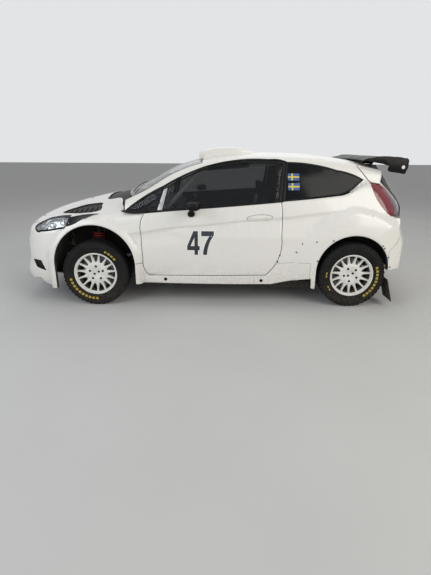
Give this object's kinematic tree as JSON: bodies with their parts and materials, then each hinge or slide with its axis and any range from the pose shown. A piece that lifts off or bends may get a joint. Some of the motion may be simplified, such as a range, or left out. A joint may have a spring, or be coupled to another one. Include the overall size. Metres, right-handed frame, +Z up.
{
  "type": "rally car",
  "caption": "Three-door rally car with opening doors, bonnet and tailgate, steered front wheels, roof scoop, roll cage and high rear wing.",
  "frame": {"origin": "on the ground under the middle of the car's length and width", "axes": "+X to the rear, +Y to the car's right, +Z up"},
  "size_m": [3.9488, 2.08, 1.5026],
  "materials": {
    "body_paint": "gloss white",
    "trim_black": "satin black",
    "carbon_black": "gloss black",
    "glass_dark": "tinted",
    "lamp_clear": "clear lens over chrome",
    "lamp_red": "red lens",
    "rim_white": "satin white",
    "tyre_rubber": "matt",
    "bare_steel": "satin",
    "cast_metal": "rough",
    "cage_white": "gloss white",
    "seat_fabric": "woven",
    "dash_fabric": "flocked",
    "wheel_suede": "suede",
    "flap_rubber": "matt",
    "guard_alloy": "brushed",
    "floor_paint": "satin grey"
  },
  "bodies": {
    "body_shell": {"left_side_frame": "body_paint", "right_side_frame": "body_paint", "left_front_wing": "body_paint", "right_front_wing": "body_paint", "side_glass": "glass_dark", "roof_panel": "body_paint", "roof_scoop": "body_paint", "windscreen": "glass_dark", "cowl": "trim_black", "headlights": "lamp_clear", "tail_lights": "lamp_red", "front_bumper": "body_paint", "grille": "trim_black", "rear_bumper": "body_paint", "floor_pan": "floor_paint", "dashboard": "dash_fabric", "seats": "seat_fabric", "roll_cage": "cage_white", "front_chassis": "floor_paint", "rear_suspension": "bare_steel", "exhaust": "bare_steel", "mudflaps": "flap_rubber", "engine_block": "cast_metal", "sump_guard": "guard_alloy"},
    "left_door": {"left_door": "body_paint", "left_door_glass": "glass_dark", "left_mirror": "carbon_black"},
    "right_door": {"right_door": "body_paint", "right_door_glass": "glass_dark", "right_mirror": "carbon_black"},
    "bonnet": {"bonnet": "body_paint"},
    "tailgate": {"tailgate": "body_paint", "tailgate_glass": "glass_dark", "rear_wing": "carbon_black"},
    "steering_wheel": {"steering_wheel": "wheel_suede"},
    "left_knuckle": {"left_knuckle": "cast_metal"},
    "right_knuckle": {"right_knuckle": "cast_metal"},
    "front_left_wheel": {"front_left_rim": "rim_white", "front_left_tyre": "tyre_rubber"},
    "front_right_wheel": {"front_right_rim": "rim_white", "front_right_tyre": "tyre_rubber"},
    "rear_left_wheel": {"rear_left_rim": "rim_white", "rear_left_tyre": "tyre_rubber"},
    "rear_right_wheel": {"rear_right_rim": "rim_white", "rear_right_tyre": "tyre_rubber"}
  },
  "joints": [
    {"name": "left_door_hinge", "type": "hinge", "parent": "body_shell", "child": "left_door", "pos_m": [-0.694, -0.868, 0.6], "axis": [0, 0, -1], "range_deg": [0, 62]},
    {"name": "right_door_hinge", "type": "hinge", "parent": "body_shell", "child": "right_door", "pos_m": [-0.694, 0.868, 0.6], "axis": [0, 0, 1], "range_deg": [0, 62]},
    {"name": "bonnet_hinge", "type": "hinge", "parent": "body_shell", "child": "bonnet", "pos_m": [-0.858, 0, 0.95], "axis": [0, 1, 0], "range_deg": [0, 58]},
    {"name": "tailgate_hinge", "type": "hinge", "parent": "body_shell", "child": "tailgate", "pos_m": [1.394, 0, 1.386], "axis": [0, -1, 0], "range_deg": [0, 80]},
    {"name": "left_steer", "type": "hinge", "parent": "body_shell", "child": "left_knuckle", "pos_m": [-1.15, -0.632, 0.32], "axis": [0, 0, 1], "range_deg": [-30, 30]},
    {"name": "right_steer", "type": "hinge", "parent": "body_shell", "child": "right_knuckle", "pos_m": [-1.15, 0.632, 0.32], "axis": [0, 0, 1], "range_deg": [-30, 30]},
    {"name": "steering_wheel_turn", "type": "hinge", "parent": "body_shell", "child": "steering_wheel", "pos_m": [-0.15, -0.37, 0.88], "axis": [0.9272, 0, 0.3746], "range_deg": [-360, 360]},
    {"name": "front_left_spin", "type": "hinge", "parent": "left_knuckle", "child": "front_left_wheel", "pos_m": [-1.15, -0.778, 0.32], "axis": [0, -1, 0], "continuous": true},
    {"name": "front_right_spin", "type": "hinge", "parent": "right_knuckle", "child": "front_right_wheel", "pos_m": [-1.15, 0.778, 0.32], "axis": [0, -1, 0], "continuous": true},
    {"name": "rear_left_spin", "type": "hinge", "parent": "body_shell", "child": "rear_left_wheel", "pos_m": [1.34, -0.778, 0.32], "axis": [0, -1, 0], "continuous": true},
    {"name": "rear_right_spin", "type": "hinge", "parent": "body_shell", "child": "rear_right_wheel", "pos_m": [1.34, 0.778, 0.32], "axis": [0, -1, 0], "continuous": true}
  ],
  "couplings": [
    {"joint": "right_steer", "follows": "left_steer", "ratio": 1},
    {"joint": "steering_wheel_turn", "follows": "left_steer", "ratio": 11}
  ]
}
